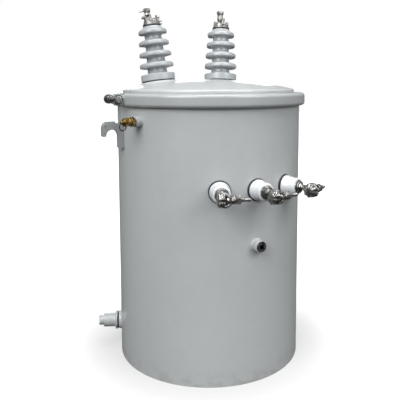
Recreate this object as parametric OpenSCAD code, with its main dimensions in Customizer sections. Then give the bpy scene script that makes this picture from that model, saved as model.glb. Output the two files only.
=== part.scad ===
// Single-phase oil-filled distribution transformer that hangs on a pole.
// +Z is up. The origin is on the tank's axis, at the foot of the skirt. The
// low-voltage bushings face -Y and the pole is on the +Y side. A bearing is
// counted from the front (-Y), positive towards +X.

/* [Tank] */
// Outside diameter of the tank
tank_d = 457.2; // [430:0.1:500]
// Thickness of the tank wall
wall_t = 3; // [2.5:0.1:4]
// Height of the tank's top flange above the foot
tank_h = 643; // [636:1:680]
// Height of the skirt below the bottom plate
skirt_h = 19; // [10:1:40]
// Thickness of the bottom plate
bottom_t = 5; // [4:0.5:8]
// Reach of the tank's top flange beyond the wall
flange_reach = 5.4; // [4:0.1:6]

/* [Cover] */
// Outside radius of the raised crown
crown_r = 215; // [205:0.5:217]
// Height of the cover's rim and of its turned-up edge
cover_rim_h = 14; // [12:0.5:18]
// Height of the crown's shoulder above the tank flange
crown_h = 27; // [20:0.5:32]
// Rise of the dome above the crown's shoulder
dome_rise = 23; // [15:0.5:35]
// Radius of the crown's rounded shoulder
shoulder_r = 6; // [4:0.5:9]

/* [Cover band] */
// Outside radius of the clamping band
band_r = 241.6; // [240:0.1:246]
// Radius of the band's rounded corners
band_corner_r = 8; // [6:0.5:9]
// Thickness of the band
band_t = 3; // [2.5:0.1:3.5]
// Distance between the two ends of the band
band_gap = 60; // [40:1:80]
// Diameter of the draw bolt
draw_bolt_d = 9.5; // [8:0.5:12]

/* [High voltage bushings] */
// Sideways distance of each bushing from the centre plane
hv_x = 92.5; // [80:0.5:100]
// Distance of the bushings behind the tank axis
hv_y = 102; // [90:0.5:110]
// Lean of each bushing
hv_tilt = 7.6; // [0:0.1:12]
// Bearing of that lean from the sideways line, towards the back
hv_lean = 55; // [40:1:65]
// Height of the bushing seats above the tank flange
hv_seat_rise = 44; // [42:0.5:48]
// Diameter of the bushing's base
hv_base_d = 89; // [80:1:95]
// Diameter of the lowest shed
hv_shed_d = 89; // [80:1:95]
// Loss of diameter from each shed to the next one up
hv_shed_step = 4.8; // [0:0.1:6]
// Distance between sheds
hv_shed_pitch = 29; // [26:0.2:31]
// Number of sheds
hv_sheds = 4; // [3:1:5]

/* [Low voltage bushings] */
// Height of the low voltage bushings
lv_z = 448; // [400:1:480]
// Bearing between neighbouring low voltage bushings
lv_step = 22.25; // [20:0.25:30]
// Diameter of the porcelain at the tank
lv_base_d = 46.5; // [44:0.5:56]
// Diameter of the porcelain's front lip
lv_lip_d = 40.5; // [34:0.5:42]
// Length of the porcelain
lv_len = 33.5; // [30:0.5:50]

/* [Fittings] */
// Height of the ground pad
ground_z = 322; // [250:1:380]
// Bearing of the relief valve
relief_az = -71; // [-80:0.5:-55]
// Height of the relief valve
relief_z = 598; // [560:1:600]
// Height of the drain fitting
drain_z = 68; // [50:1:160]
// Bearing of the drain fitting
drain_az = -114; // [-120:1:-85]
// Thickness of the lifting lugs
lug_t = 13; // [8:0.5:14]
// Foot of the lifting lugs
lug_z = 532; // [500:1:535]

/* [Support lugs] */
// Distance between the two support bolts
support_pitch = 285.75; // [280:0.25:300]
// Height of the upper support bolt
support_top_z = 520; // [480:1:560]
// Distance of the support face behind the tank wall
support_reach = 50; // [40:1:60]
// Width of a support lug
support_w = 76; // [70:1:90]
// Height of a support lug
support_h = 84; // [76:1:100]
// Thickness of the support lug's plate
support_t = 6.4; // [5:0.1:8]
// Width of the bolt slot
slot_w = 17.5; // [16.5:0.1:20]

/* [Hidden] */

$fn = 96;
paint = "#aeb2b4";
porcelain_grey = "#a9aeb3";
porcelain_white = "#eef1f3";
tin = "#9a9791";
brass = "#a98a4c";
dark = "#2c2e30";

tank_r = tank_d / 2;
inner_r = tank_r - wall_t;
lip_out_r = tank_r + flange_reach;
lip_in_r = lip_out_r - 2.5;
lip_h = cover_rim_h - 4;
band_low_z = tank_h - lip_h - 3.5;
band_high_z = tank_h + cover_rim_h + 3;
hv_seat_z = tank_h + hv_seat_rise;
shoulder_z = tank_h + crown_h - shoulder_r;
apex_z = tank_h + crown_h + dome_rise;
dome_span = crown_r - shoulder_r;
dome_r = (dome_span * dome_span + dome_rise * dome_rise) / (2 * dome_rise);
plate_t = 3;

// A child drawn along its own +Z, with +Y up, points outwards at a bearing
module outwards(bearing, z) {
    rotate([0, 0, bearing])
        translate([0, 0, z])
            rotate([90, 0, 0])
                children();
}

// A child is cut back to the outside of the tank
module outside_tank() {
    difference() {
        children();
        cylinder(r = tank_r, h = tank_h, $fn = 180);
    }
}

// A hexagon bar of a given width over its flats
module hexagon(flats, h) {
    cylinder(d = flats / cos(30), h = h, $fn = 6);
}

// ---- Tank ----

module tank_wall() {
    color(paint)
        rotate_extrude($fn = 180)
            union() {
                translate([inner_r, 0])
                    square([wall_t, tank_h]);
                translate([inner_r, tank_h - plate_t])
                    square([lip_out_r - inner_r, plate_t]);
                translate([lip_in_r, tank_h - lip_h])
                    square([lip_out_r - lip_in_r, lip_h]);
            }
}

module tank_bottom() {
    color(paint)
        translate([0, 0, skirt_h])
            cylinder(r = inner_r, h = bottom_t, $fn = 180);
}

module core_and_oil() {
    color("#6b5a2a")
        translate([0, 0, skirt_h + bottom_t])
            cylinder(r = inner_r - 1, h = tank_h - skirt_h - bottom_t - 60, $fn = 180);
}

// ---- Cover and band ----

// Outline of the crown, grown inwards by a thickness
module crown_outline(in) {
    intersection() {
        translate([0, apex_z - dome_r])
            circle(r = dome_r - in, $fn = 180);
        translate([0, tank_h - 1])
            square([dome_span, 80]);
    }
    translate([dome_span, shoulder_z])
        circle(r = shoulder_r - in, $fn = 48);
    translate([0, tank_h - 1])
        square([crown_r - in, crown_h - shoulder_r + 1]);
}

module hv_pad(side) {
    at_hv(side)
        translate([0, 0, -30])
            cylinder(d1 = hv_base_d + 22, d2 = hv_base_d + 2, h = 30, $fn = 96);
}

module tank_cover() {
    color(paint)
        difference() {
            union() {
                rotate_extrude($fn = 180)
                    union() {
                        intersection() {
                            crown_outline(0);
                            translate([0, tank_h])
                                square([crown_r, 80]);
                        }
                        translate([crown_r - plate_t, tank_h])
                            square([lip_out_r - crown_r + plate_t, plate_t]);
                        translate([lip_in_r, tank_h])
                            square([lip_out_r - lip_in_r, cover_rim_h]);
                    }
                hv_pad(-1);
                hv_pad(1);
            }
            rotate_extrude($fn = 180)
                crown_outline(plate_t);
        }
}

// Section of the band, grown inwards by a thickness
module band_section(in) {
    corner_x = band_r - band_corner_r;
    low = band_low_z + band_corner_r;
    high = band_high_z - band_corner_r;
    translate([corner_x, low])
        circle(r = band_corner_r - in, $fn = 48);
    translate([corner_x, high])
        circle(r = band_corner_r - in, $fn = 48);
    translate([corner_x, low])
        square([band_corner_r - in, high - low]);
    translate([crown_r - 10, band_low_z + in])
        square([corner_x - crown_r + 10, band_high_z - band_low_z - 2 * in]);
}

module cover_band() {
    color(paint)
        difference() {
            rotate_extrude($fn = 180)
                difference() {
                    band_section(0);
                    band_section(band_t);
                    translate([0, band_low_z - 1])
                        square([tank_r + 1, tank_h - band_low_z]);
                    translate([0, band_low_z - 1])
                        square([crown_r + 1.5, 60]);
                }
            translate([-band_r - 10, -band_gap / 2, band_low_z - 1])
                cube([60, band_gap, 60]);
        }
}

draw_bolt_x = -252;
draw_bolt_z = tank_h + 3.5;
ear_t = 5;
washer_d = 22;

module band_lugs() {
    ear_r = 9.5;
    color(paint)
        for (side = [-1, 1])
            translate([0, side * band_gap / 2, 0])
                rotate([90, 0, 0])
                    translate([0, 0, -ear_t / 2 - side * ear_t / 2])
                        difference() {
                            linear_extrude(ear_t)
                                union() {
                                    translate([draw_bolt_x, draw_bolt_z])
                                        circle(r = ear_r, $fn = 48);
                                    polygon([
                                        [-band_r + 0.2, band_low_z + 5],
                                        [draw_bolt_x - ear_r * cos(35), draw_bolt_z - ear_r * sin(35)],
                                        [draw_bolt_x, draw_bolt_z + ear_r],
                                        [-band_r + 0.2, draw_bolt_z + ear_r - 2]
                                    ]);
                                }
                            translate([draw_bolt_x, draw_bolt_z, -1])
                                cylinder(d = draw_bolt_d + 0.8, h = ear_t + 2, $fn = 48);
                        }
}

module band_bolt() {
    head_y = -band_gap / 2 - ear_t;
    color(tin)
        translate([draw_bolt_x, head_y, draw_bolt_z])
            rotate([-90, 0, 0])
                union() {
                    translate([0, 0, -2])
                        cylinder(d = washer_d, h = 2, $fn = 48);
                    translate([0, 0, -8.5])
                        hexagon(15.5, 6.5);
                    translate([0, 0, -1])
                        cylinder(d = draw_bolt_d, h = band_gap + 2 * ear_t + 13, $fn = 48);
                    translate([0, 0, band_gap + ear_t - 9])
                        hexagon(15.5, 7.5);
                    translate([0, 0, band_gap + ear_t - 2])
                        cylinder(d = washer_d, h = 2, $fn = 48);
                    translate([0, 0, band_gap + 2 * ear_t])
                        cylinder(d = washer_d, h = 2, $fn = 48);
                    translate([0, 0, band_gap + 2 * ear_t + 2])
                        hexagon(15.5, 8);
                }
}

// ---- High voltage bushings ----

// A child stands on the seat of the left (-1) or right (1) bushing
module at_hv(side) {
    lean = side < 0 ? 180 - hv_lean : hv_lean;
    translate([side * hv_x, hv_y, hv_seat_z])
        rotate([0, 0, lean])
            rotate([0, hv_tilt, 0])
                rotate([0, 0, -lean])
                    children();
}

hv_gasket_t = 3;
hv_first_shed_z = 43.5;
hv_top_z = 148;
hv_body_low_r = 26;
hv_body_high_r = 21.5;

module hv_gasket(side) {
    color(dark)
        at_hv(side)
            cylinder(d = hv_base_d - 4, h = hv_gasket_t, $fn = 96);
}

module shed_outline(tip_r, body_r) {
    edge = 5.4;
    translate([tip_r - edge, 0])
        circle(r = edge, $fn = 32);
    polygon([
        [0, -edge - 1.5],
        [body_r, -edge - 1.5],
        [tip_r - edge, -edge],
        [tip_r - edge, edge],
        [body_r + 5, edge + 3],
        [body_r - 2, edge + 7],
        [0, edge + 7]
    ]);
}

module hv_bushing(side) {
    base_h = 14.5;
    color(porcelain_grey)
        at_hv(side)
            translate([0, 0, hv_gasket_t])
                rotate_extrude($fn = 96)
                    union() {
                        polygon([
                            [0, 0],
                            [hv_base_d / 2 - 1.5, 0],
                            [hv_base_d / 2, 1.5],
                            [hv_base_d / 2, base_h - 2],
                            [hv_base_d / 2 - 2, base_h],
                            [hv_body_low_r + 3, base_h + 6],
                            [hv_body_low_r, base_h + 11],
                            [hv_body_high_r, hv_top_z - 18],
                            [17, hv_top_z - hv_gasket_t],
                            [0, hv_top_z - hv_gasket_t]
                        ]);
                        for (i = [0 : hv_sheds - 1])
                            translate([0, hv_first_shed_z - hv_gasket_t + i * hv_shed_pitch])
                                shed_outline(
                                    (hv_shed_d - i * hv_shed_step) / 2,
                                    hv_body_low_r - i * 1.5
                                );
                    }
}

// Bearing of each high voltage terminal about its own bushing
function hv_turn(side) = side < 0 ? -28 : -103;
clamp_off = -8;
screw_off = 17;

module at_hv_terminal(side) {
    at_hv(side)
        translate([0, 0, hv_top_z])
            rotate([0, 0, hv_turn(side)])
                children();
}

module hv_cap(side) {
    color(tin)
        at_hv_terminal(side)
            union() {
                cylinder(d = 46, h = 4, $fn = 64);
                translate([0, 0, 4])
                    cylinder(d1 = 43, d2 = 38, h = 8, $fn = 64);
                translate([clamp_off, 0, 0])
                    cylinder(d = 22, h = 17, $fn = 48);
                translate([screw_off, 0, 0])
                    cylinder(d = 9, h = 19, $fn = 48);
                translate([screw_off, 0, 18])
                    hexagon(10.5, 6.5);
            }
}

module hv_clamp(side) {
    rise = side > 0 ? 5.5 : 0;
    color(tin)
        at_hv_terminal(side)
            translate([clamp_off, 0, 16])
                union() {
                    cylinder(d = 13, h = 20 + rise, $fn = 48);
                    translate([-8.5, -5.5, 0])
                        cube([17, 11, 18]);
                    translate([0, 0, 19 + rise])
                        hexagon(19, 11);
                    translate([0, 0, 21 + rise])
                        rotate([0, -90, 0])
                            cylinder(d = 3.2, h = 21, $fn = 32);
                    translate([0, 0, 6])
                        rotate([0, -90, 0])
                            cylinder(d = 7.5, h = 16, $fn = 32);
                }
}

// ---- Low voltage bushings ----

lv_gasket_t = 2.9;
lv_seat = tank_r + lv_gasket_t;
lv_lip = lv_seat + lv_len;
lv_collar_h = 2.2;
lv_clamp_c = lv_lip + 35;
lv_clamp_side = 2;
lv_clamp_drop = 3.5;
lv_clamp_d = 33;
lv_clamp_w = 34;

module lv_gasket(i) {
    color(dark)
        outside_tank()
            outwards(i * lv_step, lv_z)
                translate([0, 0, tank_r - 4])
                    cylinder(d = lv_base_d + 4.5, h = 4 + lv_gasket_t, $fn = 64);
}

module lv_bushing(i) {
    color(porcelain_white)
        outwards(i * lv_step, lv_z)
            translate([0, 0, lv_seat])
                rotate_extrude($fn = 96)
                    union() {
                        polygon([
                            [0, 0],
                            [lv_base_d / 2, 0],
                            [lv_base_d / 2, 5],
                            [lv_base_d / 2 - 1.2, 8],
                            [lv_lip_d / 2 - 1, lv_len - 8],
                            [lv_lip_d / 2 - 3, lv_len],
                            [0, lv_len]
                        ]);
                        translate([lv_lip_d / 2 - 4, lv_len - 4])
                            circle(r = 4, $fn = 32);
                    }
}

module lv_stud(i) {
    color(tin)
        outwards(i * lv_step, lv_z)
            translate([0, 0, lv_lip])
                union() {
                    cylinder(d = 31, h = lv_collar_h, $fn = 64);
                    translate([0, 0, lv_collar_h])
                        cylinder(d1 = 28, d2 = 15, h = 7.8, $fn = 64);
                    translate([0, 0, lv_collar_h + 7.8])
                        cylinder(d = 11.5, h = 10, $fn = 48);
                }
}

// Half of the clamp, drawn with its bolt along +Z: a rounded cap with fingers
module clamp_half(fingers) {
    cap_h = 11;
    edge = 7;
    rotate_extrude($fn = 64)
        union() {
            square([lv_clamp_d / 2 - edge, cap_h]);
            translate([0, edge])
                square([lv_clamp_d / 2, cap_h - edge]);
            translate([lv_clamp_d / 2 - edge, edge])
                circle(r = edge, $fn = 48);
        }
    intersection() {
        cylinder(d = lv_clamp_d, h = lv_clamp_w - cap_h, $fn = 64);
        union()
            for (y = fingers)
                translate([-lv_clamp_d, y[0], edge])
                    cube([2 * lv_clamp_d, y[1] - y[0], lv_clamp_w - cap_h - edge]);
    }
}

module lv_jaw(i) {
    color(tin)
        outwards(i * lv_step, lv_z)
            translate([lv_clamp_side - lv_clamp_w / 2, -lv_clamp_drop, lv_clamp_c])
                rotate([0, 90, 0])
                    clamp_half([[-5, 5]]);
}

module lv_body(i) {
    color(tin)
        outwards(i * lv_step, lv_z)
            translate([lv_clamp_side + lv_clamp_w / 2, -lv_clamp_drop, lv_clamp_c])
                rotate([0, -90, 0])
                    clamp_half([[-lv_clamp_d, -5.6], [5.6, lv_clamp_d]]);
}

module lv_bolt(i) {
    color(tin)
        outwards(i * lv_step, lv_z)
            translate([lv_clamp_side + lv_clamp_w / 2, -lv_clamp_drop, lv_clamp_c])
                rotate([0, 90, 0])
                    union() {
                        cylinder(d = 19, h = 2.4, $fn = 48);
                        translate([0, 0, 2.4])
                            cylinder(d = 16, h = 2, $fn = 48);
                        translate([0, 0, 4.4])
                            hexagon(17, 12);
                        cylinder(d = 8.8, h = 37, $fn = 48);
                    }
}

// ---- Fittings on the tank ----

ground_plug_d = 24.6;
socket_w = 9.6;

module ground_pad() {
    color(paint)
        outside_tank()
            outwards(0, ground_z)
                translate([0, 0, tank_r - 2])
                    difference() {
                        cylinder(d = 29, h = 21, $fn = 64);
                        translate([0, 0, 11])
                            cylinder(d = ground_plug_d, h = 11, $fn = 64);
                    }
}

module ground_plug() {
    color(dark)
        outwards(0, ground_z)
            translate([0, 0, tank_r + 9])
                difference() {
                    cylinder(d = ground_plug_d, h = 10.6, $fn = 64);
                    translate([-socket_w / 2, -socket_w / 2, 2.6])
                        cube([socket_w, socket_w, 9]);
                }
}

module relief_coupling() {
    color(paint)
        outside_tank()
            outwards(relief_az, relief_z)
                translate([0, 0, tank_r - 3])
                    cylinder(d = 24, h = 19, $fn = 64);
}

module relief_valve() {
    color(brass)
        outwards(relief_az, relief_z)
            translate([0, 0, tank_r + 16])
                union() {
                    hexagon(19, 11);
                    translate([0, 0, 10])
                        cylinder(d = 17, h = 9, $fn = 48);
                    translate([0, 0, 19])
                        hexagon(17.5, 10);
                    translate([0, 0, 29])
                        cylinder(d1 = 15, d2 = 9, h = 2.5, $fn = 48);
                    cylinder(d = 7, h = 39, $fn = 32);
                }
}

module relief_ring() {
    color(dark)
        outwards(relief_az, relief_z)
            translate([0, -9, tank_r + 48])
                rotate([0, 90, 0])
                    rotate_extrude($fn = 64)
                        translate([9, 0])
                            circle(r = 1.3, $fn = 16);
}

// Flat plate with a hook arch that opens downwards, in the plane of X and Z
module lifting_lug(side) {
    arch_r = 14.5;
    tip = tank_r + 53;
    shoulder = 16;
    finger = 9.5;
    arch_x = tip - finger - arch_r;
    top = lug_z + 63.5;
    color(paint)
        outside_tank()
            scale([side, 1, 1])
                translate([0, lug_t / 2, 0])
                    rotate([90, 0, 0])
                        linear_extrude(lug_t)
                            difference() {
                                union() {
                                    translate([tank_r - 4, lug_z])
                                        square([20, 60]);
                                    translate([tank_r - 4, top - 26])
                                        square([22, 22]);
                                    translate([arch_x - arch_r + 2, top - 40])
                                        square([tip - shoulder - arch_x + arch_r - 2, 40]);
                                    translate([tip - shoulder, top - shoulder])
                                        circle(r = shoulder, $fn = 64);
                                    polygon([
                                        [tip - shoulder, top - shoulder],
                                        [tip - shoulder, lug_z + 28],
                                        [tip - 2.2, lug_z + 28],
                                        [tip, lug_z + 30.2],
                                        [tip, top - shoulder]
                                    ]);
                                }
                                translate([arch_x, lug_z + 29.5])
                                    circle(r = arch_r, $fn = 64);
                                translate([arch_x - arch_r, lug_z - 1])
                                    square([2 * arch_r, 30.5]);
                                translate([tip - 7.3, top - 11.4])
                                    circle(d = 4.2, $fn = 32);
                            }
}

// Folded channel with a bolt slot in its face, open downwards
module support_lug(bolt_z) {
    face_y = tank_r + support_reach;
    low = bolt_z - support_h / 2;
    color(paint)
        outside_tank()
            difference() {
                translate([-support_w / 2, tank_r - 8, low])
                    cube([support_w, face_y - tank_r + 8, support_h]);
                translate([-support_w / 2 + support_t, tank_r - 20, low - 1])
                    cube([support_w - 2 * support_t, face_y - tank_r + 20 - support_t, support_h + 2]);
                translate([0, face_y + 1, bolt_z])
                    rotate([90, 0, 0])
                        cylinder(d = slot_w, h = support_t + 2, $fn = 48);
                translate([-slot_w / 2, face_y - support_t - 1, low - 1])
                    cube([slot_w, support_t + 2, bolt_z - low + 1]);
            }
}

drain_boss_h = 7;
drain_seat_h = drain_boss_h + 3;
drain_flange_h = 6.2;
drain_body_h = 36;

module drain_boss() {
    color(paint)
        outside_tank()
            outwards(drain_az, drain_z)
                translate([0, 0, tank_r - 3])
                    cylinder(d = 44, h = 3 + drain_boss_h, $fn = 64);
}

module drain_gasket() {
    color(dark)
        outwards(drain_az, drain_z)
            translate([0, 0, tank_r + drain_boss_h])
                cylinder(d = 42, h = drain_seat_h - drain_boss_h, $fn = 64);
}

module drain_fitting() {
    color(paint)
        outwards(drain_az, drain_z)
            translate([0, 0, tank_r + drain_seat_h])
                union() {
                    cylinder(d = 46, h = drain_flange_h, $fn = 64);
                    cylinder(d = 35, h = drain_body_h, $fn = 64);
                }
}

module drain_plug() {
    color(paint)
        outwards(drain_az, drain_z)
            translate([0, 0, tank_r + drain_seat_h + drain_body_h])
                difference() {
                    cylinder(d = 24, h = 12, $fn = 64);
                    for (a = [0, 90])
                        rotate([0, 0, a])
                            translate([-2.5, -13, 7])
                                cube([5, 26, 6]);
                }
}

tank_wall();
tank_bottom();
core_and_oil();
tank_cover();
cover_band();
band_lugs();
band_bolt();
hv_gasket(-1);  // hv_gasket_left
hv_gasket(1);  // hv_gasket_right
hv_bushing(-1);  // hv_bushing_left
hv_bushing(1);  // hv_bushing_right
hv_cap(-1);  // hv_cap_left
hv_cap(1);  // hv_cap_right
hv_clamp(-1);  // hv_clamp_left
hv_clamp(1);  // hv_clamp_right
lv_gasket(-1);  // lv_gasket_left
lv_gasket(0);  // lv_gasket_middle
lv_gasket(1);  // lv_gasket_right
lv_bushing(-1);  // lv_bushing_left
lv_bushing(0);  // lv_bushing_middle
lv_bushing(1);  // lv_bushing_right
lv_stud(-1);  // lv_stud_left
lv_stud(0);  // lv_stud_middle
lv_stud(1);  // lv_stud_right
lv_jaw(-1);  // lv_jaw_left
lv_jaw(0);  // lv_jaw_middle
lv_jaw(1);  // lv_jaw_right
lv_body(-1);  // lv_body_left
lv_body(0);  // lv_body_middle
lv_body(1);  // lv_body_right
lv_bolt(-1);  // lv_bolt_left
lv_bolt(0);  // lv_bolt_middle
lv_bolt(1);  // lv_bolt_right
ground_pad();
ground_plug();
relief_coupling();
relief_valve();
relief_ring();
lifting_lug(-1);  // lifting_lug_left
lifting_lug(1);  // lifting_lug_right
support_lug(support_top_z);  // support_lug_upper
support_lug(support_top_z - support_pitch);  // support_lug_lower
drain_boss();
drain_gasket();
drain_fitting();
drain_plug();
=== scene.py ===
import math

import bmesh
import bpy
from mathutils import Matrix, Vector


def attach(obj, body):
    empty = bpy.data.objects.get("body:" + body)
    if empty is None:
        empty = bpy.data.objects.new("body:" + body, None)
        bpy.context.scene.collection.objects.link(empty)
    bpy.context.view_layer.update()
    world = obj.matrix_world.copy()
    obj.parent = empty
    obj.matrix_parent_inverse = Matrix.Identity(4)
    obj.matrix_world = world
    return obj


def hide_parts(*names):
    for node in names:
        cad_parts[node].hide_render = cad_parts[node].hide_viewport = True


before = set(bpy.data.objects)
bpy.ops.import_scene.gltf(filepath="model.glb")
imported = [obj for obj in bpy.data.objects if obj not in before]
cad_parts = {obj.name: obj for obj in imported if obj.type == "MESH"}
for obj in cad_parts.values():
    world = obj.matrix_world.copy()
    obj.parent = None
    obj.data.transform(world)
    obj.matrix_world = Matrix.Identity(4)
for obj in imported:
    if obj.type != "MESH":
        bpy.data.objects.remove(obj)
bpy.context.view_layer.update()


# ---- Tank shell ----
# Sheet steel rolled into a drum and welded down the back, with its top edge
# turned out and down as a flange for the cover. Sprayed light grey all over.

TANK_R = 228.6
WALL = 3.0
TANK_H = 643.0
FLANGE_R = 234.0
FLANGE_LIP = 10.0
SEAM_BEARING = 152.0
SEAM_LENGTH = 600.0
SEAM_MIDDLE_Z = 316.0


class Amount:
    """A number that changes over a surface, used in sums like any other."""

    def __init__(self, finish, socket):
        self.finish = finish
        self.socket = socket

    def worked(self, operation, *values):
        return self.finish.node("ShaderNodeMath", {"operation": operation}, dict(enumerate(values)))

    def __add__(self, other):
        return self.worked("ADD", self, other)

    def __rsub__(self, other):
        return self.worked("SUBTRACT", other, self)

    def __mul__(self, other):
        return self.worked("MULTIPLY", self, other)

    __radd__ = __add__
    __rmul__ = __mul__


class Finish:
    """A surface finish: one material whose colour, gloss and relief are built up here."""

    def __init__(self, name):
        self.material = bpy.data.materials.new(name)
        self.material.use_nodes = True
        self.tree = self.material.node_tree
        self.shader = self.tree.nodes["Principled BSDF"]
        self.place = self.node("ShaderNodeTexCoord", {}, {}, "Object")

    def node(self, kind, settings, sockets, output=0):
        made = self.tree.nodes.new(kind)
        for name, value in settings.items():
            setattr(made, name, value)
        for name, value in sockets.items():
            self.join(value, made.inputs[name])
        return Amount(self, made.outputs[output])

    def join(self, value, socket):
        if isinstance(value, Amount):
            self.tree.links.new(value.socket, socket)
        else:
            socket.default_value = value

    def shade(self, **values):
        for name, value in values.items():
            self.join(value, self.shader.inputs[name.replace("_", " ")])

    def grain(self, scale, detail, stretch=(1, 1, 1)):
        at = self.node("ShaderNodeMapping", {}, {"Vector": self.place, "Scale": stretch})
        sizes = {"Vector": at, "Scale": scale, "Detail": detail}
        return self.node("ShaderNodeTexNoise", {}, sizes)

    def ease(self, value, low, high):
        limits = {"Value": value, 1: low, 2: high}
        return self.node("ShaderNodeMapRange", {"interpolation_type": "SMOOTHSTEP"}, limits)

    def mixed(self, amount, first, second):
        colours = {0: amount, 6: first, 7: second}
        return self.node("ShaderNodeMix", {"data_type": "RGBA"}, colours, 2)

    def facing_up(self):
        normal = self.node("ShaderNodeNewGeometry", {}, {}, "Normal")
        return self.node("ShaderNodeSeparateXYZ", {}, {"Vector": normal}, "Z")

    def height(self):
        return self.node("ShaderNodeSeparateXYZ", {}, {"Vector": self.place}, "Z")

    def relief(self, height, depth, strength):
        sizes = {"Height": height, "Distance": depth, "Strength": strength}
        return self.node("ShaderNodeBump", {}, sizes, "Normal")


def rgb(red, green, blue):
    return (red, green, blue, 1)


def sprayed_grey(name, thin, thick):
    """Light grey enamel, with slow drift in its tone, faint rain marks and orange peel, and painted
    light that makes it lighter towards the bottom.
    """
    paint = Finish(name)
    drift = paint.grain(3.2, detail=3)
    marks = paint.grain(11, detail=4, stretch=(1, 1, 0.08))
    mottle = paint.grain(46, detail=5)
    peel = paint.grain(520, detail=1)
    tone = paint.ease(drift * 0.55 + marks * 0.25 + mottle * 0.2, 0.36, 0.64)
    colour = paint.mixed(tone, thin, thick)
    # Painted light: the colour is blended lighter towards the bottom of each piece, standing in for
    # light that falls off lower down.
    colour = paint.mixed(paint.ease(paint.height(), 0.75, -0.1) * 0.2, colour, rgb(0.68, 0.7, 0.7))
    dust = paint.ease(paint.facing_up(), 0.8, 1.0) * paint.ease(mottle, 0.42, 0.7) * 0.3
    colour = paint.mixed(dust, colour, rgb(0.5, 0.5, 0.48))
    foot = paint.ease(paint.height(), 0.05, 0.0) * paint.ease(mottle, 0.4, 0.65) * 0.35
    colour = paint.mixed(foot, colour, rgb(0.24, 0.23, 0.21))
    paint.shade(
        Base_Color=colour,
        Roughness=0.3 + mottle * 0.1 + dust * 0.5 + foot * 0.5,
        Coat_Weight=0.4,
        Coat_Roughness=0.09,
        Normal=paint.relief(peel * 0.6 + mottle * 0.4, 0.00012, 0.35),
    )
    return paint.material


PAINT = sprayed_grey("grey_paint", rgb(0.392, 0.412, 0.42), rgb(0.432, 0.452, 0.458))


def outline(points, closed=False):
    """Corners in the XZ plane joined by edges. A third number rounds that corner off."""
    shape = bmesh.new()
    corners = [shape.verts.new((point[0], 0, point[1])) for point in points]
    for first, second in zip(corners, corners[1:]):
        shape.edges.new((first, second))
    if closed:
        shape.edges.new((corners[-1], corners[0]))
    for corner, point in zip(corners, points):
        if len(point) > 2:
            rounded(shape, [corner], point[2], "VERTICES", 5)
    return shape


def rounded(shape, geometry, size, affect="EDGES", segments=3):
    bmesh.ops.bevel(
        shape, geom=geometry, offset=size, offset_type="OFFSET", segments=segments,
        profile=0.5, affect=affect, clamp_overlap=True, material=-1,
    )


def turned(points, steps=96, closed=False, about=(0, 0, 1)):
    """An outline spun right round an axis through the origin."""
    shape = outline(points, closed)
    bmesh.ops.spin(
        shape, geom=shape.verts[:] + shape.edges[:], cent=(0, 0, 0), axis=about,
        angle=2 * math.pi, steps=steps, use_merge=True,
    )
    bmesh.ops.remove_doubles(shape, verts=shape.verts[:], dist=0.001)
    return shape


def moved(shape, *steps):
    """A shape after each step is applied, the last one first."""
    for step in reversed(steps):
        shape.transform(step)
    return shape


def shift(x, y, z):
    return Matrix.Translation((x, y, z))


def turn(degrees, axis):
    return Matrix.Rotation(math.radians(degrees), 4, axis)


def outwards(bearing, z, reach=TANK_R):
    """The place where +Z points out of the tank at a bearing, with +Y up."""
    return turn(bearing, "Z") @ shift(0, -reach, z) @ turn(90, "X")


def joined(first, *others):
    for other in others:
        carrier = bpy.data.meshes.new("carrier")
        other.to_mesh(carrier)
        other.free()
        first.from_mesh(carrier)
        bpy.data.meshes.remove(carrier)
    return first


def piece(name, shape, material, nodes, thickness=0.0):
    """A shape in millimetres made into a finished piece that stands for its CAD nodes."""
    bmesh.ops.recalc_face_normals(shape, faces=shape.faces[:])
    shape.transform(Matrix.Scale(0.001, 4))
    mesh = bpy.data.meshes.new(name)
    shape.to_mesh(mesh)
    shape.free()
    mesh.shade_smooth()
    mesh.set_sharp_from_angle(angle=math.radians(38))
    mesh.materials.append(material)
    made = bpy.data.objects.new(name, mesh)
    bpy.context.scene.collection.objects.link(made)
    if thickness:
        sheet = made.modifiers.new("sheet thickness", "SOLIDIFY")
        sheet.thickness = thickness / 1000
        sheet.offset = -1
    made.modifiers.new("even shading", "WEIGHTED_NORMAL").keep_sharp = True
    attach(made, "root")
    if nodes:
        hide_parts(*nodes)
    return made


def tank_shell():
    inner = TANK_R - WALL
    lip = FLANGE_R - 2.5
    shell = turned([
        (inner, 0, 0.8), (TANK_R, 0, 0.8), (TANK_R, TANK_H - WALL, 1.5),
        (lip, TANK_H - WALL, 0.8), (lip, TANK_H - FLANGE_LIP), (FLANGE_R, TANK_H - FLANGE_LIP),
        (FLANGE_R, TANK_H, 2), (inner, TANK_H, 1),
    ], steps=288, closed=True)
    bead = bmesh.new()
    bmesh.ops.create_cone(
        bead, cap_ends=True, segments=12, radius1=3, radius2=3, depth=SEAM_LENGTH)
    rounded(bead, [edge for edge in bead.edges if len(edge.link_faces[0].verts) > 4 or
                   len(edge.link_faces[1].verts) > 4], 1.2)
    moved(bead, turn(SEAM_BEARING, "Z"), shift(0, -TANK_R + 0.1, SEAM_MIDDLE_Z),
          Matrix.Diagonal((1, 0.3, 1, 1)))
    return joined(shell, bead)


piece("tank_shell", tank_shell(), PAINT, ["tank_wall"])


# ---- Tank bottom, core and oil ----
# A round steel plate welded in above the skirt's foot, painted like the tank. The
# core, coils and oil are sealed in and never seen, so their solid stays as it is.

def oiled_core():
    core = Finish("oil_and_core")
    layers = core.grain(30, detail=3, stretch=(1, 1, 6))
    core.shade(
        Base_Color=core.mixed(layers, rgb(0.2, 0.14, 0.05), rgb(0.3, 0.22, 0.09)),
        Roughness=0.35 + layers * 0.2,
        Normal=core.relief(layers, 0.0005, 0.3),
    )
    return core.material


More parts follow.
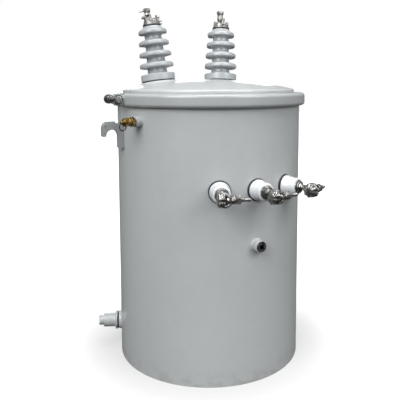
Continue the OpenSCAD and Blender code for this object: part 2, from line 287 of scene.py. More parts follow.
for node_name, material in (("tank_bottom", PAINT), ("core_and_oil", oiled_core())):
    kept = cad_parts[node_name]
    kept.data.materials.clear()
    kept.data.materials.append(material)


# ---- Cover ----
# One pressing of sheet steel: a shallow dome with a raised crown, two seats
# swaged up for the high voltage bushings, and a rim that the band grips.

CROWN_R = 215.0
CROWN_H = 27.0
SHOULDER_R = 6.0
SHOULDER_Z = TANK_H + CROWN_H - SHOULDER_R
DOME_RISE = 23.0
DOME_SPAN = CROWN_R - SHOULDER_R
DOME_R = (DOME_SPAN ** 2 + DOME_RISE ** 2) / (2 * DOME_RISE)
APEX_Z = TANK_H + CROWN_H + DOME_RISE
RIM_H = 14.0
HV_X = 92.5
HV_Y = 102.0
HV_SEAT_RISE = 44.0
HV_SEAT_Z = TANK_H + HV_SEAT_RISE
HV_TILT = 7.6
HV_LEAN = 55.0
SEAT_R = 47.0
SEAT_FADE = 13.0


def on_cover(side):
    """The place of a bushing's seat, with +Z along the bushing."""
    lean = 180 - HV_LEAN if side < 0 else HV_LEAN
    tilt = turn(lean, "Z") @ turn(HV_TILT, "Y") @ turn(-lean, "Z")
    return shift(side * HV_X, HV_Y, HV_SEAT_Z) @ tilt


def cover():
    shape = bmesh.new()
    apex = shape.verts.new((0, 0, APEX_Z))
    arc = bmesh.ops.spin(
        shape, geom=[apex], cent=(0, 0, APEX_Z - DOME_R), axis=(0, 1, 0),
        angle=math.asin(DOME_SPAN / DOME_R), steps=56,
    )
    edge = [item for item in arc["geom_last"] if isinstance(item, bmesh.types.BMVert)]
    bmesh.ops.spin(
        shape, geom=edge, cent=(DOME_SPAN, 0, SHOULDER_Z), axis=(0, 1, 0),
        angle=math.pi / 2, steps=8,
    )
    last = max(shape.verts, key=lambda vert: vert.co.x)
    for radius, height, corner in ((CROWN_R, TANK_H + WALL, 3), (FLANGE_R, TANK_H + WALL, 2),
                                   (FLANGE_R, TANK_H + RIM_H, 0)):
        following = shape.verts.new((radius, 0, height))
        shape.edges.new((last, following))
        last = following
    bmesh.ops.spin(
        shape, geom=shape.verts[:] + shape.edges[:], cent=(0, 0, 0), axis=(0, 0, 1),
        angle=2 * math.pi, steps=288, use_merge=True,
    )
    bmesh.ops.remove_doubles(shape, verts=shape.verts[:], dist=0.01)
    for side in (-1, 1):
        seat = on_cover(side)
        normal = seat.to_3x3() @ Vector((0, 0, 1))
        centre = seat.translation
        for vert in shape.verts:
            away = vert.co - centre
            radius = (away - normal * away.dot(normal)).length
            fade = min(max((SEAT_R + SEAT_FADE - radius) / SEAT_FADE, 0), 1)
            fade = fade * fade * (3 - 2 * fade)
            level = centre.z - (away.x * normal.x + away.y * normal.y) / normal.z
            vert.co.z += (level - vert.co.z) * fade
    return shape


piece("tank_cover_pressing", cover(), PAINT, ["tank_cover"], thickness=WALL)


# ---- Cover band ----
# A strip of steel rolled to a C section that draws the cover's rim and the tank's
# flange together. It is split on the left, where one long bolt closes it.

BAND_R = 241.6
BAND_CORNER = 8.0
BAND_T = 3.0
BAND_LOW = TANK_H - FLANGE_LIP - 3.5
BAND_HIGH = TANK_H + RIM_H + BAND_T
BAND_OVERLAP_R = CROWN_R + 1.5
BAND_FOOT_R = TANK_R + 1.0
BAND_GAP = 60.0


def cover_band():
    inner = BAND_R - BAND_T
    inside_corner = BAND_CORNER - BAND_T
    section = outline([
        (BAND_OVERLAP_R, BAND_HIGH), (BAND_R, BAND_HIGH, BAND_CORNER),
        (BAND_R, BAND_LOW, BAND_CORNER), (BAND_FOOT_R, BAND_LOW), (BAND_FOOT_R, BAND_LOW + BAND_T),
        (inner, BAND_LOW + BAND_T, inside_corner), (inner, BAND_HIGH - BAND_T, inside_corner),
        (BAND_OVERLAP_R, BAND_HIGH - BAND_T),
    ], closed=True)
    bmesh.ops.contextual_create(section, geom=section.edges[:])
    half = math.asin(BAND_GAP / 2 / BAND_R)
    section.transform(Matrix.Rotation(math.pi + half, 4, "Z"))
    bmesh.ops.spin(
        section, geom=section.verts[:] + section.edges[:] + section.faces[:], cent=(0, 0, 0),
        axis=(0, 0, 1), angle=2 * (math.pi - half), steps=276,
    )
    return section


# Painted shade: the band takes a darker copy of the grey paint, standing in for shade on it.
BAND_PAINTED_SHADE = sprayed_grey("band_painted_shade", rgb(0.337, 0.355, 0.362), rgb(0.372, 0.389, 0.395))
piece("cover_clamp_band", cover_band(), BAND_PAINTED_SHADE, ["cover_band"])


# ---- Band ears and draw bolt ----
# An ear cut from plate is welded to each end of the band. One long black bolt with
# washers runs through both. Its head, its nut and a jam nut are zinc plated.

DRAW_X = -252.0
DRAW_Z = TANK_H + 3.5
EAR_R = 9.5
EAR_T = 5.0
DRAW_BOLT_D = 9.5
WASHER_D = 22.0
THREAD_PITCH = 1.6


def plate(points, thickness, edge=0.6):
    """An outline in the XZ plane made into a plate, thick along +Y, with eased edges."""
    shape = outline(points, closed=True)
    face = bmesh.ops.contextual_create(shape, geom=shape.edges[:])["faces"]
    pushed = bmesh.ops.extrude_face_region(shape, geom=face, use_keep_orig=True)
    fresh = [item for item in pushed["geom"] if isinstance(item, bmesh.types.BMVert)]
    bmesh.ops.translate(shape, verts=fresh, vec=(0, thickness, 0))
    if edge:
        flat = [item for item in shape.faces if abs(item.normal.y) > 0.9]
        rounded(shape, list({border for item in flat for border in item.edges}), edge, segments=2)
    return shape


def rod(diameter, low, high, edge=0.5, steps=48):
    """A plain round bar on the Z axis with eased ends."""
    radius = diameter / 2
    return turned([(0, low), (radius, low, edge), (radius, high, edge), (0, high)], steps)


def threaded(diameter, low, high, steps=40):
    """A round bar with thread along it and a chamfered end at the top."""
    crest = diameter / 2
    root = crest - THREAD_PITCH * 0.5
    points = [(0, low), (root, low)]
    turns = int((high - low - 1.2) / THREAD_PITCH)
    for index in range(turns):
        at = low + (index + 0.5) * THREAD_PITCH
        points += [(crest, at - 0.12), (crest, at + 0.12), (root, at + THREAD_PITCH / 2)]
    points += [(crest - 1.2, high), (0, high)]
    return turned(points, steps)


def hexagon(flats, low, high, edge=0.7):
    """A hexagon head or nut on the Z axis, with its corners turned down."""
    shape = bmesh.new()
    radius = flats / math.sqrt(3)
    bmesh.ops.create_cone(
        shape, cap_ends=True, segments=6, radius1=radius, radius2=radius, depth=high - low)
    uprights = [item for item in shape.edges if abs(item.verts[0].co.z - item.verts[1].co.z) > 0.1]
    rounded(shape, uprights, edge * 0.5, segments=2)
    rims = [item for item in shape.edges if abs(item.verts[0].co.z - item.verts[1].co.z) < 0.01]
    rounded(shape, rims, edge, segments=3)
    return moved(shape, shift(0, 0, (low + high) / 2))


def cast_metal(name, dark, light, grain_size, gloss, pitting):
    """Metal with its natural colour, mottled by handling and cast or plated grain."""
    metal = Finish(name)
    cloud = metal.grain(90, detail=4)
    speck = metal.grain(grain_size, detail=3)
    tone = metal.ease(cloud * 0.6 + speck * 0.4, 0.38, 0.62)
    metal.shade(
        Base_Color=metal.mixed(tone, dark, light),
        Metallic=1.0,
        Roughness=gloss + (1 - tone) * 0.22,
        Normal=metal.relief(speck * 0.7 + cloud * 0.3, pitting, 0.6),
    )
    return metal.material


ZINC = cast_metal("zinc_plate", rgb(0.22, 0.22, 0.22), rgb(0.6, 0.6, 0.59), 900, 0.22, 0.0001)


def dark_steel():
    steel = Finish("dark_steel")
    oil = steel.grain(160, detail=4)
    steel.shade(
        Base_Color=steel.mixed(
            steel.ease(oil, 0.4, 0.66), rgb(0.035, 0.035, 0.037), rgb(0.14, 0.137, 0.133)),
        Metallic=0.7,
        Roughness=0.32 + oil * 0.25,
        Normal=steel.relief(oil, 0.0002, 0.5),
    )
    return steel.material


BLACK_STEEL = dark_steel()


def band_ears():
    reach = math.radians(35)
    corner_x = DRAW_X - EAR_R * math.cos(reach)
    ears = []
    for side in (-1, 1):
        ear = plate([
            (-BAND_R + 3, BAND_LOW + 6), (-BAND_R - 1.5, BAND_LOW + 5, 1.5),
            (corner_x, DRAW_Z - EAR_R * math.sin(reach), 5.5), (DRAW_X - EAR_R, DRAW_Z + 1.5, 4.5),
            (DRAW_X - 4.5, DRAW_Z + EAR_R, 5), (-BAND_R + 3, DRAW_Z + EAR_R - 1),
        ], EAR_T)
        start = BAND_GAP / 2 if side > 0 else -BAND_GAP / 2 - EAR_T
        ears.append(moved(ear, shift(0, start, 0)))
    return joined(*ears)


def draw_bolt():
    span = BAND_GAP + 2 * EAR_T
    far_ear = span - EAR_T
    along = shift(DRAW_X, -span / 2, DRAW_Z) @ turn(-90, "X")
    head_and_nuts = joined(
        rod(17.5, -3.8, -2, 0.7), hexagon(14, -8.2, -3.6, 0.9), rod(10.5, -8.4, -8, 0.2),
        hexagon(15.5, span + 2, span + 9.6, 0.9), hexagon(15, far_ear - 8.6, far_ear - 2, 0.9),
    )
    shank = joined(
        rod(WASHER_D, -2, -0.05), rod(WASHER_D, far_ear - 2, far_ear - 0.05),
        rod(WASHER_D, span + 0.05, span + 2), threaded(DRAW_BOLT_D, -1, span + 13),
    )
    return moved(head_and_nuts, along), moved(shank, along)


piece("band_end_ears", band_ears(), PAINT, ["band_lugs"])
zinc_parts, black_parts = draw_bolt()
piece("band_draw_bolt", black_parts, BLACK_STEEL, ["band_bolt"])
piece("band_bolt_head_and_nuts", zinc_parts, ZINC, [])


# ---- High voltage bushings ----
# Grey glazed porcelain with four sheds, each smaller than the one below. The
# round foot stands on a rubber seal on its seat in the cover.

HV_SEAL_T = 3.0
HV_FOOT_R = 44.5
HV_SHEDS = 4
HV_FIRST_SHED = 43.5
HV_PITCH = 29.0
HV_STEP = 2.4
HV_TOP = 148.0
HV_BODY_R = 24.8
HV_BODY_STEP = 0.95
SIDES = {"left": -1, "right": 1}


def black_rubber():
    rubber = Finish("black_rubber")
    bloom = rubber.grain(120, detail=4)
    rubber.shade(
        Base_Color=rubber.mixed(
            rubber.ease(bloom, 0.4, 0.7), rgb(0.012, 0.012, 0.013), rgb(0.035, 0.035, 0.036)),
        Roughness=0.55 + bloom * 0.25,
        Normal=rubber.relief(bloom, 0.0002, 0.4),
    )
    return rubber.material


def glazed(name, thin, deep, fleck_amount, gloss, coat):
    """Porcelain under clear glaze that pools darker here and there, with a few flecks."""
    glaze = Finish(name)
    pool = glaze.grain(24, detail=3)
    ripple = glaze.grain(75, detail=1)
    fleck = glaze.ease(glaze.grain(1500, detail=1), 0.7, 0.78) * fleck_amount
    colour = glaze.mixed(glaze.ease(pool, 0.35, 0.68), thin, deep)
    glaze.shade(
        Base_Color=glaze.mixed(fleck, colour, rgb(0.12, 0.12, 0.11)),
        Roughness=gloss + pool * 0.08 + fleck * 0.2,
        Coat_Weight=coat,
        Coat_Roughness=0.1,
        IOR=1.52,
        Normal=glaze.relief(ripple, 0.0006, 0.3),
    )
    return glaze.material


RUBBER = black_rubber()
GREY_GLAZE = glazed(
    "grey_porcelain", rgb(0.38, 0.4, 0.41), rgb(0.33, 0.352, 0.366), 0.35, 0.26, 0.25)


def hv_seal():
    return rod(2 * HV_FOOT_R - 3, 0, HV_SEAL_T, 0.9, 96)


def hv_porcelain():
    points = [
        (0, HV_SEAL_T), (HV_FOOT_R, HV_SEAL_T, 1.5), (HV_FOOT_R, 20, 2.2),
        (32, 21.5, 3), (HV_BODY_R + 1, 24, 2.5),
    ]
    for index in range(HV_SHEDS):
        level = HV_FIRST_SHED + index * HV_PITCH
        tip = HV_FOOT_R - index * HV_STEP
        core = HV_BODY_R - index * HV_BODY_STEP
        points += [(core, level - 8.6, 2.8), (tip - 5, level - 6.2, 3), (tip, level - 5.6, 4.9)]
        if index < HV_SHEDS - 1:
            points += [(tip, level + 4.6, 4.9), (tip - 7, level + 6.2, 4),
                       (core - HV_BODY_STEP / 2, level + 9.4, 3.4)]
    points += [
        (tip, level + 4.4, 4.9), (tip - 6, level + 6.4, 4), (tip - 10, level + 8.6, 4),
        (core + 2, level + 13, 3), (core - 1, HV_TOP - 1.5, 1), (0, HV_TOP - 1.5),
    ]
    return turned(points, 128)


for where, side in SIDES.items():
    piece("hv_seal_" + where, moved(hv_seal(), on_cover(side)), RUBBER,
          ["hv_gasket_" + where])
    piece("hv_porcelain_" + where, moved(hv_porcelain(), on_cover(side)), GREY_GLAZE,
          ["hv_bushing_" + where])


# ---- High voltage terminals ----
# A cast cap over a black seal closes each porcelain. It carries an eye bolt that
# clamps the line lead under a big nut, and a screw that closes the cap.

CLAMP_OFF = -8.0
SCREW_OFF = 17.0
HV_TURN = {"left": -28.0, "right": -103.0}
CLAMP_RISE = {"left": 0.0, "right": 5.5}
CAP_LUMPS = ((0, 17, 8, 13), (2, -17, 8, 11), (-15, 8, 6, 15), (10, -9, 6, 12))
SILVERED = cast_metal(
    "silvered_bronze", rgb(0.2, 0.198, 0.19), rgb(0.44, 0.435, 0.42), 420, 0.42, 0.0003)


def hv_cap_seal():
    section = [(19, -2.2), (23.4, -2.2, 0.6), (23.4, 0.2, 0.6), (19, 0.2)]
    return turned(section, 72, closed=True)


def hv_cap():
    crown = turned([
        (0, 0), (23, 0, 0.8), (23, 3.6, 1.2), (20.8, 4.4, 1), (20, 10.4, 1.4), (15, 11.6, 2),
        (0, 11.8),
    ], 72)
    boss = moved(rod(20, 3, 18, 1.5), shift(CLAMP_OFF, 0, 0))
    post = moved(joined(rod(9, 4, 19), hexagon(11, 17.5, 24.5, 0.8)), shift(SCREW_OFF, 0, 0))
    lumps = []
    for across, along, height, tall in CAP_LUMPS:
        lump = bmesh.new()
        bmesh.ops.create_cube(lump, size=1, matrix=Matrix.Diagonal((9, 8, tall, 1)))
        rounded(lump, lump.edges[:], 1.6, segments=3)
        lumps.append(moved(lump, shift(across, along, height + tall / 2 - 4)))
        lumps.append(moved(hexagon(7, 0, 3, 0.6), shift(across, along, height + tall - 4.2)))
    for level in (1.2, 8.5):
        tab = bmesh.new()
        bmesh.ops.create_cube(tab, size=1, matrix=Matrix.Diagonal((13, 8, 2.4, 1)))
        rounded(tab, tab.edges[:], 0.7, segments=2)
        lumps.append(moved(tab, shift(SCREW_OFF + 4, 0, level)))
    return joined(crown, boss, post, *lumps)


def hv_eye_bolt(rise):
    section = [(4.4, -5.5, 1), (9.5, -5.5, 1.6), (9.5, 5.5, 1.6), (4.4, 5.5, 1)]
    eye = moved(turned(section, 48, closed=True), shift(0, 0, 25), turn(90, "X"))
    stud = threaded(9.4, 12, 44 + rise)
    nut = joined(
        rod(17, 35.4 + rise, 37.2 + rise, 0.5), hexagon(17.5, 37 + rise, 44.6 + rise, 1.2))
    collar = turned([
        (0, 27), (8.2, 27, 1), (7.2, 33 + rise, 2), (5.4, 35.6 + rise, 1), (0, 35.6 + rise),
    ], 40)
    pin = moved(rod(3.2, 0, 21, 0.6), shift(0, 0, 38.5 + rise), turn(-90, "Y"))
    screw = moved(rod(7.5, 0, 16, 1.6), shift(0, 0, 22), turn(-90, "Y"))
    return moved(joined(eye, stud, nut, collar, pin, screw), shift(CLAMP_OFF, 0, 0))


for where, side in SIDES.items():
    at = on_cover(side) @ shift(0, 0, HV_TOP) @ turn(HV_TURN[where], "Z")
    piece("hv_cap_seal_" + where, moved(hv_cap_seal(), at), RUBBER, [])
    piece("hv_cast_cap_" + where, moved(hv_cap(), at), SILVERED,
          ["hv_cap_" + where])
    piece("hv_eye_bolt_" + where, moved(hv_eye_bolt(CLAMP_RISE[where]), at), SILVERED,
          ["hv_clamp_" + where])


# ---- Low voltage bushings ----
# Three white glazed porcelains come out of the wall side by side. Each one has a
# rubber seal that follows the wall, a rounded lip, and a stud with a collar.

LV_Z = 448.0
LV_STEP = 22.25
LV_SEAL_T = 2.9
LV_SEAL_R = 25.5
LV_BASE_R = 23.25
LV_LIP_R = 20.25
LV_LEN = 33.5
LV_FACE = LV_SEAL_T + LV_LEN
LV_PLACES = {"left": -1, "middle": 0, "right": 1}
TINNED = cast_metal(
    "tinned_bronze", rgb(0.075, 0.074, 0.071), rgb(0.57, 0.565, 0.545), 420, 0.24, 0.0005)
WHITE_GLAZE = glazed(
    "white_porcelain", rgb(0.7, 0.72, 0.735), rgb(0.62, 0.645, 0.665), 0.12, 0.14, 0.5)


def hugging(shape, fade):
    """Bends a fitting's foot back onto the round wall, fading out away from the wall."""
    for vert in shape.verts:
        hold = min(max(1 - vert.co.z / fade, 0), 1)
        vert.co.z -= hold * (TANK_R - math.sqrt(TANK_R ** 2 - vert.co.x ** 2))
    return shape


def lv_seal():
    ring = turned([(0, -0.5), (LV_SEAL_R, -0.5), (LV_SEAL_R, LV_SEAL_T, 1.4), (0, LV_SEAL_T)], 96)
    return hugging(ring, 60)


def lv_porcelain():
    return turned([
        (0, 0), (LV_BASE_R, 0, 1), (LV_BASE_R, 6.5, 2.5), (LV_BASE_R - 1.6, 9, 2),
        (LV_LIP_R - 1.2, LV_LEN - 9, 4), (LV_LIP_R, LV_LEN - 6, 2.5), (LV_LIP_R, LV_LEN, 3.6),
        (14, LV_LEN, 1), (13.5, LV_LEN - 2), (0, LV_LEN - 2),
    ], 112)


def lv_stud():
    return turned([
        (0, -3), (15.5, -3), (15.5, 1.8, 0.7), (11, 1.9), (11, 3.3), (13.8, 3.4, 0.6),
        (13.8, 6, 0.8), (9, 6.6, 0.5), (8, 9.6, 1.5), (5.75, 11.5, 1), (5.75, 22), (0, 22),
    ], 64)


for where, step in LV_PLACES.items():
    at = outwards(step * LV_STEP, LV_Z)
    piece("lv_seal_" + where, moved(lv_seal(), at), RUBBER, ["lv_gasket_" + where])
    piece("lv_porcelain_" + where, moved(lv_porcelain(), at @ shift(0, 0, LV_SEAL_T)), WHITE_GLAZE,
          ["lv_bushing_" + where])
    piece("lv_collar_stud_" + where, moved(lv_stud(), at @ shift(0, 0, LV_FACE)), TINNED,
          ["lv_stud_" + where])


# ---- Low voltage clamps ----
# Two tinned bronze jaws grip the cable across the stud: one is a ribbed barrel, the
# other has three curled hooks. A long bolt with washers and a big nut draws them up.

LV_CLAMP_OUT = LV_FACE + 35
LV_CLAMP_SIDE = 2.0
LV_CLAMP_DROP = 3.5
LV_CLAMP_R = 16.5
LV_CLAMP_HALF = 17.0
LV_HOOKS = ((0, 12, 11, 4.8, 235), (9.5, 5.4, 9.2, 4.4, 190), (-9.5, 5.4, 9.2, 4.4, 190))


def fluted(shape, flutes, depth):
    """Draws a turned shape in along a number of flutes, by a share of its radius."""
    for vert in shape.verts:
        wave = 1 - depth * (0.5 - 0.5 * math.cos(flutes * math.atan2(vert.co.y, vert.co.x)))
        vert.co.x *= wave
        vert.co.y *= wave
    return shape


def ribbed_jaw():
    """The outer jaw, with the bolt along +Z and its back at the origin."""
    points = [(0, 0), (7.5, 0, 2), (12, 1.6, 1.5), (13.6, 3.2)]
    for level in (3.4, 8.0, 12.6):
        points += [(LV_CLAMP_R, level + 0.5, 0.7), (LV_CLAMP_R, level + 2.9, 0.7),
                   (13.4, level + 3.4), (13.4, level + 4.5)]
    return fluted(turned(points + [(11, 17.5, 1.5), (0, 17.5)], 96), 9, 0.11)


def hook_jaw():
    """The inner jaw, with the bolt along +Z and its back at the origin."""
    body = fluted(turned([
        (0, 0), (8, 0, 1), (9, 3, 1.5), (13.5, 8, 2), (13.8, 11, 1), (12, 14.5, 1.5), (0, 14.5),
    ], 72), 6, 0.09)
    hooks = []
    for along, width, inner, thick, sweep in LV_HOOKS:
        hook = outline([
            (-width / 2, inner, 1.1), (width / 2, inner, 1.1), (width / 2, inner + thick, 1.5),
            (-width / 2, inner + thick, 1.5),
        ], closed=True)
        bmesh.ops.contextual_create(hook, geom=hook.edges[:])
        moved(hook, turn(180 - sweep / 2, "X"))
        bmesh.ops.spin(
            hook, geom=hook.verts[:] + hook.edges[:] + hook.faces[:], cent=(0, 0, 0),
            axis=(1, 0, 0), angle=math.radians(sweep), steps=40,
        )
        hooks.append(moved(hook, shift(along, 0, 18)))
    return joined(body, *hooks)


def lv_nut():
    washers = joined(rod(19, 0, 2.1, 0.6), rod(15.5, 2.6, 4.4, 0.5), rod(12, 1.5, 5))
    return joined(washers, hexagon(17, 4.8, 16.2, 1.2))


for where, step in LV_PLACES.items():
    at = outwards(step * LV_STEP, LV_Z) @ shift(LV_CLAMP_SIDE, -LV_CLAMP_DROP, LV_CLAMP_OUT)
    fixed = at @ shift(-LV_CLAMP_HALF, 0, 0) @ turn(90, "Y")
    loose = at @ shift(LV_CLAMP_HALF, 0, 0) @ turn(-90, "Y")
    piece("lv_fixed_jaw_" + where, moved(ribbed_jaw(), fixed), TINNED,
          ["lv_jaw_" + where])
    piece("lv_moving_jaw_" + where, moved(hook_jaw(), loose), TINNED,
          ["lv_body_" + where])
    along = at @ shift(LV_CLAMP_HALF, 0, 0) @ turn(90, "Y")
    piece("lv_clamp_nut_" + where, moved(lv_nut(), along), TINNED, [])
    piece("lv_clamp_bolt_" + where, moved(threaded(8.8, 10, 37), along), ZINC,
          ["lv_bolt_" + where])


# ---- Ground pad ----
# A short steel boss welded to the wall and painted with it. Its tapped hole is
# closed by a blackened plug with a square socket.

GROUND_Z = 322.0
GROUND_R = 14.4
GROUND_OUT = 19.0
PLUG_R = 12.2
PLUG_OUT = 19.6
SOCKET = 9.6


def ground_boss():
    boss = turned([
        (0, -1), (GROUND_R + 2.4, -1), (GROUND_R + 1.2, 0.9, 0.6), (GROUND_R, 2.4, 1.2),
        (GROUND_R, GROUND_OUT, 1.2), (PLUG_R + 0.4, GROUND_OUT, 0.6), (PLUG_R + 0.4, 9), (0, 9),
    ], 72)
    return hugging(boss, 12)


def ground_plug():
    plug = turned([
        (0, 8), (PLUG_R, 8), (PLUG_R, PLUG_OUT, 1), (7.6, PLUG_OUT, 0.4), (0, PLUG_OUT),
    ], 72)
    face = [item for item in plug.faces if item.calc_center_median().z > PLUG_OUT - 0.05
            and item.calc_center_median().xy.length < 7]
    bmesh.ops.delete(plug, geom=face, context="FACES")
    socket = bmesh.new()
    bmesh.ops.create_cube(socket, size=SOCKET, matrix=shift(0, 0, PLUG_OUT - SOCKET / 2))
    lid = [item for item in socket.faces if item.normal.z > 0.9]
    bmesh.ops.delete(socket, geom=lid, context="FACES")
    uprights = [item for item in socket.edges if abs(item.verts[0].co.z - item.verts[1].co.z) > 1]
    rounded(socket, uprights, 0.8, segments=3)
    joined(plug, socket)
    rims = [item for item in plug.edges if item.is_boundary]
    bmesh.ops.bridge_loops(plug, edges=rims)
    return plug


at_ground = outwards(0, GROUND_Z)
piece("ground_boss", moved(ground_boss(), at_ground), PAINT, ["ground_pad"])
piece("ground_socket_plug", moved(ground_plug(), at_ground), BLACK_STEEL,
      ["ground_plug"])


# ---- Pressure relief ----
# A painted coupling welded high on the wall holds a turned brass valve. A wire ring
# through its stem is pulled with a hot stick to let the tank breathe.

RELIEF_BEARING = -71.0
RELIEF_Z = 598.0
COUPLING_R = 12.0
COUPLING_OUT = 16.0
RING_R = 9.0
RING_WIRE = 1.3
RING_OUT = 48.0
BRASS = cast_metal("brass", rgb(0.13, 0.075, 0.02), rgb(0.66, 0.48, 0.18), 300, 0.14, 0.0001)


def relief_coupling():
    coupling = turned([
        (0, -1), (COUPLING_R + 2.2, -1), (COUPLING_R + 1, 0.9, 0.6), (COUPLING_R, 2.2, 1),
        (COUPLING_R, COUPLING_OUT, 0.8), (0, COUPLING_OUT),
    ], 72)
    return hugging(coupling, 12)


def relief_valve():
    return joined(
        rod(14.5, COUPLING_OUT - 1, 19, 0.3), hexagon(19.5, 18, 27.5, 0.8),
        turned([
            (0, 27), (7, 27), (7, 28.6, 0.3), (8.9, 29.2, 0.4), (8.9, 32.6, 0.4), (7, 33.2),
            (7, 35.4), (0, 35.4),
        ], 56),
        hexagon(17.5, 34.8, 45, 0.8),
        turned([
            (0, 44.6), (7.4, 44.7, 0.3), (7, 46.2, 0.8), (4.2, 47.3, 0.6), (3.5, 47.8),
            (3.5, 54, 0.9), (0, 54),
        ], 48),
    )


def relief_ring():
    ring = bmesh.new()
    bmesh.ops.create_circle(ring, cap_ends=False, segments=14, radius=RING_WIRE,
                            matrix=shift(RING_R, 0, 0) @ turn(90, "X"))
    bmesh.ops.spin(ring, geom=ring.verts[:] + ring.edges[:], cent=(0, 0, 0), axis=(0, 0, 1),
                   angle=2 * math.pi, steps=64, use_merge=True)
    return moved(ring, shift(0, -RING_R, RING_OUT), turn(90, "Y"))


at_relief = outwards(RELIEF_BEARING, RELIEF_Z)
piece("relief_wall_coupling", moved(relief_coupling(), at_relief), PAINT,
      ["relief_coupling"])
piece("relief_brass_valve", moved(relief_valve(), at_relief), BRASS, ["relief_valve"])
piece("relief_pull_ring", moved(relief_ring(), at_relief), BLACK_STEEL,
      ["relief_ring"])


# ---- Lifting lugs ----
# Thick steel plate flame cut to a hook that opens downwards, with a small hole near
# its tip, one on each side, welded on edge to the wall. Their darker copy of the grey
# paint is painted shade.

LUG_T = 13.0
LUG_Z = 532.0
LUG_H = 63.5
LUG_TOP = LUG_Z + LUG_H
LUG_TIP = TANK_R + 53
ARCH_R = 14.5
FINGER_W = 9.5
FINGER_Z = LUG_Z + 28
ARCH_X = LUG_TIP - FINGER_W - ARCH_R
ARCH_Z = LUG_Z + 29.5
TIP_HOLE_R = 2.1


def lifting_lug(side):
    root = TANK_R - 1.5
    hook = outline([
        (root, LUG_Z), (ARCH_X - ARCH_R, LUG_Z, 3), (ARCH_X - ARCH_R, ARCH_Z + ARCH_R, 14.4),
        (LUG_TIP - FINGER_W, ARCH_Z + ARCH_R, 14.4), (LUG_TIP - FINGER_W, FINGER_Z, 2),
        (LUG_TIP, FINGER_Z, 2.5), (LUG_TIP, LUG_TOP, 15.5), (ARCH_X - ARCH_R + 8, LUG_TOP, 1.2),
        (ARCH_X - ARCH_R + 6, LUG_TOP - 4, 1.5), (root, LUG_TOP - 6),
    ], closed=True)
    bmesh.ops.create_circle(
        hook, segments=24, radius=TIP_HOLE_R,
        matrix=shift(LUG_TIP - 7.3, 0, LUG_TOP - 11.4) @ turn(90, "X"))
    bmesh.ops.triangle_fill(hook, edges=hook.edges[:], use_beauty=True)
    inside = [item for item in hook.edges if not item.is_boundary]
    bmesh.ops.dissolve_limit(hook, angle_limit=0.01, verts=hook.verts[:], edges=inside)
    pushed = bmesh.ops.extrude_face_region(hook, geom=hook.faces[:], use_keep_orig=True)
    fresh = [item for item in pushed["geom"] if isinstance(item, bmesh.types.BMVert)]
    bmesh.ops.translate(hook, verts=fresh, vec=(0, LUG_T, 0))
    rims = [item for item in hook.edges if item.calc_face_angle(0) > 1.2
            and abs(item.verts[0].co.y - item.verts[1].co.y) < 0.1]
    rounded(hook, rims, 0.7, segments=2)
    return moved(hook, Matrix.Diagonal((side, 1, 1, 1)), shift(0, -LUG_T / 2, 0))


# Painted shade: a darker copy of the grey paint for the hooks, standing in for shade on them.
HOOK_PAINTED_SHADE = sprayed_grey("hook_painted_shade", rgb(0.25, 0.265, 0.27), rgb(0.29, 0.305, 0.31))
for where, side in SIDES.items():
    piece("lifting_hook_" + where, lifting_lug(side), HOOK_PAINTED_SHADE,
          ["lifting_lug_" + where])


# ---- Support lugs ----
# Two folded steel channels welded to the back of the tank, one above the other.
# A slot in each face, open downwards, drops over a bolt through the pole bracket.

SUPPORT_TOP_Z = 520.0
SUPPORT_PITCH = 285.75
SUPPORT_FACE = TANK_R + 50
SUPPORT_W = 76.0
SUPPORT_H = 84.0
SUPPORT_T = 6.4
SUPPORT_BEND = 9.0
SLOT_W = 17.5


def support_lug(bolt_z):
    flat_half = SUPPORT_W / 2 - SUPPORT_BEND
    low = bolt_z - SUPPORT_H / 2
    slot = SLOT_W / 2
    channel = outline([
        (-flat_half, low), (-slot, low), (-slot, bolt_z + slot, slot - 0.05),
        (slot, bolt_z + slot, slot - 0.05), (slot, low), (flat_half, low),
        (flat_half, low + SUPPORT_H), (-flat_half, low + SUPPORT_H),
    ], closed=True)
    bmesh.ops.contextual_create(channel, geom=channel.edges[:])
    for side in (-1, 1):
        edge = [item for item in channel.edges
                if all(abs(vert.co.x - side * flat_half) < 0.01 for vert in item.verts)]
        folded = bmesh.ops.spin(
            channel, geom=edge + list(edge[0].verts), cent=(side * flat_half, -SUPPORT_BEND, 0),
            axis=(0, 0, -side), angle=math.pi / 2, steps=6,
        )
        last = [item for item in folded["geom_last"] if isinstance(item, bmesh.types.BMEdge)]
        cheek = bmesh.ops.extrude_edge_only(channel, edges=last)
        fresh = [item for item in cheek["geom"] if isinstance(item, bmesh.types.BMVert)]
        reach = TANK_R - 5 - SUPPORT_FACE + SUPPORT_BEND
        bmesh.ops.translate(channel, verts=fresh, vec=(0, reach, 0))
    return moved(channel, shift(0, SUPPORT_FACE, 0))


for where, drop in (("upper", 0), ("lower", SUPPORT_PITCH)):
    piece("support_channel_" + where, support_lug(SUPPORT_TOP_Z - drop), PAINT,
          ["support_lug_" + where], thickness=SUPPORT_T)


# ---- Drain ----
# Low on the left a painted boss takes a flanged fitting over a black seal. A hollow
# plug with notches round its rim closes the end, and all but the seal is painted.

DRAIN_BEARING = -114.0
DRAIN_Z = 68.0
DRAIN_BOSS = 7.0
DRAIN_SEAT = 10.0
DRAIN_END = 46.0
DRAIN_SEAL_D = 41.4
PLUG_END = DRAIN_END + 12
NOTCH_FROM = DRAIN_END + 3.5


def drain_boss():
    boss = turned([
        (0, -1), (23.4, -1), (22.4, 1.2, 1), (21.8, 3, 1), (21.8, DRAIN_BOSS, 1.4), (0, DRAIN_BOSS),
    ], 96)
    return hugging(boss, 60)


def drain_fitting():
    return turned([
        (0, DRAIN_SEAT), (22.8, DRAIN_SEAT, 1.2), (22.8, DRAIN_SEAT + 5, 1.6),
        (17.4, DRAIN_SEAT + 6, 1.6), (16.8, DRAIN_SEAT + 9, 1), (16.8, DRAIN_END, 1.8),
        (0, DRAIN_END),
    ], 96)


